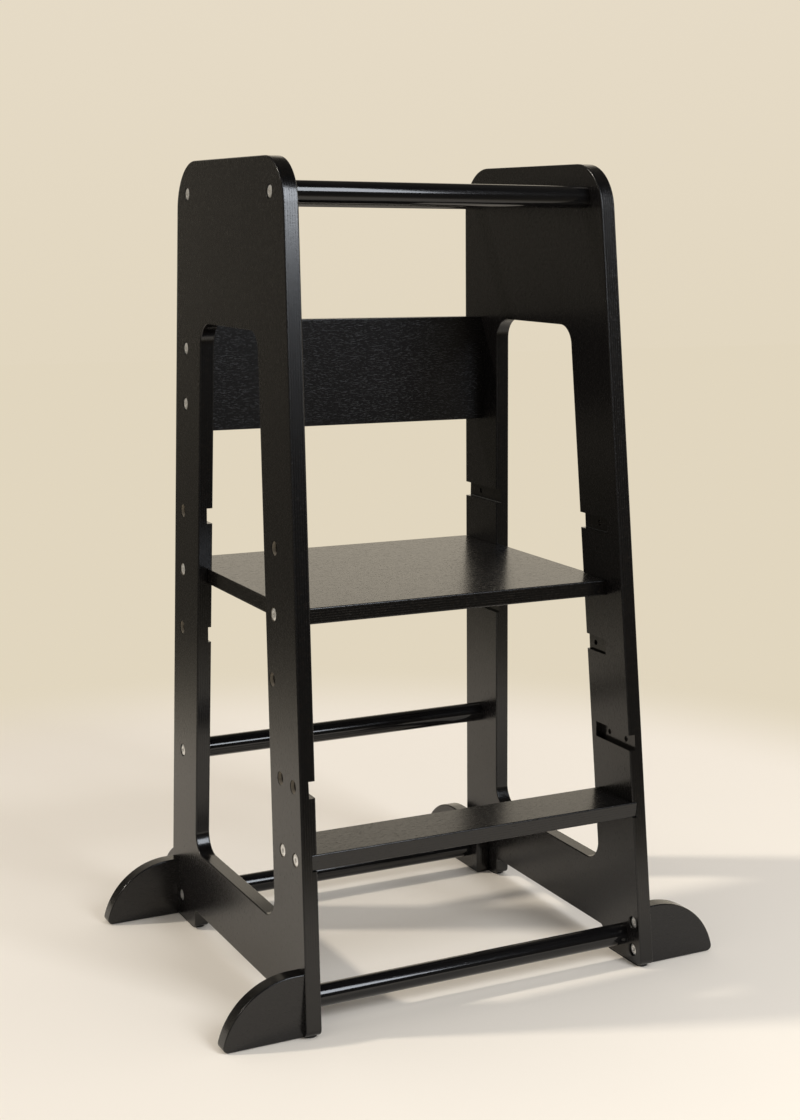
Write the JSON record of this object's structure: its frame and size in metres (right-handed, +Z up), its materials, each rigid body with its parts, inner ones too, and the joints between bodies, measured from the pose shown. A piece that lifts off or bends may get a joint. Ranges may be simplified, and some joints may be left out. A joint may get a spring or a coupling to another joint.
{
  "type": "toddler kitchen helper stool",
  "caption": "Toddler kitchen helper stool: leaning plywood side panels joined by round rails and a back board, with a standing platform and a step bolted into grooves.",
  "frame": {"origin": "on the floor, at the middle of the object's footprint", "axes": "+Z up, the front with the step towards -Y, +X to the right side panel as seen by a child who looks out over the back board"},
  "size_m": [0.633, 0.5128, 0.9335],
  "materials": {
    "panel_black_lacquer": "satin black lacquer on birch plywood",
    "rail_gloss_black": "gloss black lacquer",
    "bolt_zinc": "bright zinc",
    "washer_zinc": "bright zinc",
    "insert_steel": "plain zinc",
    "glide_pad": "matt"
  },
  "bodies": {
    "frame": {"back_board": "panel_black_lacquer", "back_board_bolts": "bolt_zinc", "back_board_inserts": "insert_steel", "front_bottom_rail": "rail_gloss_black", "front_bottom_rail_bolts": "bolt_zinc", "front_bottom_rail_inserts": "insert_steel", "front_top_rail": "rail_gloss_black", "front_top_rail_bolts": "bolt_zinc", "front_top_rail_inserts": "insert_steel", "left_front_glide": "glide_pad", "left_front_outer_foot": "panel_black_lacquer", "left_front_outer_foot_bolts": "bolt_zinc", "left_front_outer_foot_inserts": "insert_steel", "left_rear_back_foot": "panel_black_lacquer", "left_rear_glide": "glide_pad", "left_rear_outer_foot": "panel_black_lacquer", "left_rear_outer_foot_bolts": "bolt_zinc", "left_rear_outer_foot_inserts": "insert_steel", "left_side_panel": "panel_black_lacquer", "platform": "panel_black_lacquer", "platform_inserts": "insert_steel", "rear_bottom_rail": "rail_gloss_black", "rear_bottom_rail_bolts": "bolt_zinc", "rear_bottom_rail_inserts": "insert_steel", "rear_middle_rail": "rail_gloss_black", "rear_middle_rail_bolts": "bolt_zinc", "rear_middle_rail_inserts": "insert_steel", "rear_top_rail": "rail_gloss_black", "rear_top_rail_bolts": "bolt_zinc", "rear_top_rail_inserts": "insert_steel", "right_front_glide": "glide_pad", "right_front_outer_foot": "panel_black_lacquer", "right_front_outer_foot_bolts": "bolt_zinc", "right_front_outer_foot_inserts": "insert_steel", "right_rear_back_foot": "panel_black_lacquer", "right_rear_glide": "glide_pad", "right_rear_outer_foot": "panel_black_lacquer", "right_rear_outer_foot_bolts": "bolt_zinc", "right_rear_outer_foot_inserts": "insert_steel", "right_side_panel": "panel_black_lacquer", "step_board": "panel_black_lacquer", "step_inserts": "insert_steel"},
    "left_platform_rear_washer": {"left_platform_rear_washer": "washer_zinc"},
    "left_platform_rear_bolt": {"left_platform_rear_bolt": "bolt_zinc"},
    "left_platform_front_washer": {"left_platform_front_washer": "washer_zinc"},
    "left_platform_front_bolt": {"left_platform_front_bolt": "bolt_zinc"},
    "left_step_rear_washer": {"left_step_rear_washer": "washer_zinc"},
    "left_step_rear_bolt": {"left_step_rear_bolt": "bolt_zinc"},
    "left_step_front_washer": {"left_step_front_washer": "washer_zinc"},
    "left_step_front_bolt": {"left_step_front_bolt": "bolt_zinc"},
    "right_platform_rear_washer": {"right_platform_rear_washer": "washer_zinc"},
    "right_platform_rear_bolt": {"right_platform_rear_bolt": "bolt_zinc"},
    "right_platform_front_washer": {"right_platform_front_washer": "washer_zinc"},
    "right_platform_front_bolt": {"right_platform_front_bolt": "bolt_zinc"},
    "right_step_rear_washer": {"right_step_rear_washer": "washer_zinc"},
    "right_step_rear_bolt": {"right_step_rear_bolt": "bolt_zinc"},
    "right_step_front_washer": {"right_step_front_washer": "washer_zinc"},
    "right_step_front_bolt": {"right_step_front_bolt": "bolt_zinc"}
  },
  "joints": [
    {"name": "left_platform_rear_washer_slide", "type": "slide", "parent": "frame", "child": "left_platform_rear_washer", "axis": [-1, 0, 0], "range_m": [0, 0.017]},
    {"name": "left_platform_rear_bolt_turn", "type": "hinge", "parent": "left_platform_rear_washer", "child": "left_platform_rear_bolt", "pos_m": [-0.21213, 0.13673, 0.4462], "axis": [-1, 0, 0], "range_deg": [0, 6121]},
    {"name": "left_platform_front_washer_slide", "type": "slide", "parent": "frame", "child": "left_platform_front_washer", "axis": [-1, 0, 0], "range_m": [0, 0.017]},
    {"name": "left_platform_front_bolt_turn", "type": "hinge", "parent": "left_platform_front_washer", "child": "left_platform_front_bolt", "pos_m": [-0.21213, -0.14631, 0.4462], "axis": [-1, 0, 0], "range_deg": [0, 6121]},
    {"name": "left_step_rear_washer_slide", "type": "slide", "parent": "frame", "child": "left_step_rear_washer", "axis": [-1, 0, 0], "range_m": [0, 0.017]},
    {"name": "left_step_rear_bolt_turn", "type": "hinge", "parent": "left_step_rear_washer", "child": "left_step_rear_bolt", "pos_m": [-0.21771, -0.18245, 0.1906], "axis": [-1, 0, 0], "range_deg": [0, 6121]},
    {"name": "left_step_front_washer_slide", "type": "slide", "parent": "frame", "child": "left_step_front_washer", "axis": [-1, 0, 0], "range_m": [0, 0.017]},
    {"name": "left_step_front_bolt_turn", "type": "hinge", "parent": "left_step_front_washer", "child": "left_step_front_bolt", "pos_m": [-0.21771, -0.21695, 0.1906], "axis": [-1, 0, 0], "range_deg": [0, 6121]},
    {"name": "right_platform_rear_washer_slide", "type": "slide", "parent": "frame", "child": "right_platform_rear_washer", "axis": [1, 0, 0], "range_m": [0, 0.017]},
    {"name": "right_platform_rear_bolt_turn", "type": "hinge", "parent": "right_platform_rear_washer", "child": "right_platform_rear_bolt", "pos_m": [0.21213, 0.13673, 0.4462], "axis": [1, 0, 0], "range_deg": [0, 6121]},
    {"name": "right_platform_front_washer_slide", "type": "slide", "parent": "frame", "child": "right_platform_front_washer", "axis": [1, 0, 0], "range_m": [0, 0.017]},
    {"name": "right_platform_front_bolt_turn", "type": "hinge", "parent": "right_platform_front_washer", "child": "right_platform_front_bolt", "pos_m": [0.21213, -0.14631, 0.4462], "axis": [1, 0, 0], "range_deg": [0, 6121]},
    {"name": "right_step_rear_washer_slide", "type": "slide", "parent": "frame", "child": "right_step_rear_washer", "axis": [1, 0, 0], "range_m": [0, 0.017]},
    {"name": "right_step_rear_bolt_turn", "type": "hinge", "parent": "right_step_rear_washer", "child": "right_step_rear_bolt", "pos_m": [0.21771, -0.18245, 0.1906], "axis": [1, 0, 0], "range_deg": [0, 6121]},
    {"name": "right_step_front_washer_slide", "type": "slide", "parent": "frame", "child": "right_step_front_washer", "axis": [1, 0, 0], "range_m": [0, 0.017]},
    {"name": "right_step_front_bolt_turn", "type": "hinge", "parent": "right_step_front_washer", "child": "right_step_front_bolt", "pos_m": [0.21771, -0.21695, 0.1906], "axis": [1, 0, 0], "range_deg": [0, 6121]}
  ],
  "couplings": [
    {"joint": "left_platform_rear_bolt_turn", "follows": "left_platform_rear_washer_slide", "rad_per_m": 6283.2},
    {"joint": "left_platform_front_bolt_turn", "follows": "left_platform_front_washer_slide", "rad_per_m": 6283.2},
    {"joint": "left_step_rear_bolt_turn", "follows": "left_step_rear_washer_slide", "rad_per_m": 6283.2},
    {"joint": "left_step_front_bolt_turn", "follows": "left_step_front_washer_slide", "rad_per_m": 6283.2},
    {"joint": "right_platform_rear_bolt_turn", "follows": "right_platform_rear_washer_slide", "rad_per_m": 6283.2},
    {"joint": "right_platform_front_bolt_turn", "follows": "right_platform_front_washer_slide", "rad_per_m": 6283.2},
    {"joint": "right_step_rear_bolt_turn", "follows": "right_step_rear_washer_slide", "rad_per_m": 6283.2},
    {"joint": "right_step_front_bolt_turn", "follows": "right_step_front_washer_slide", "rad_per_m": 6283.2}
  ]
}
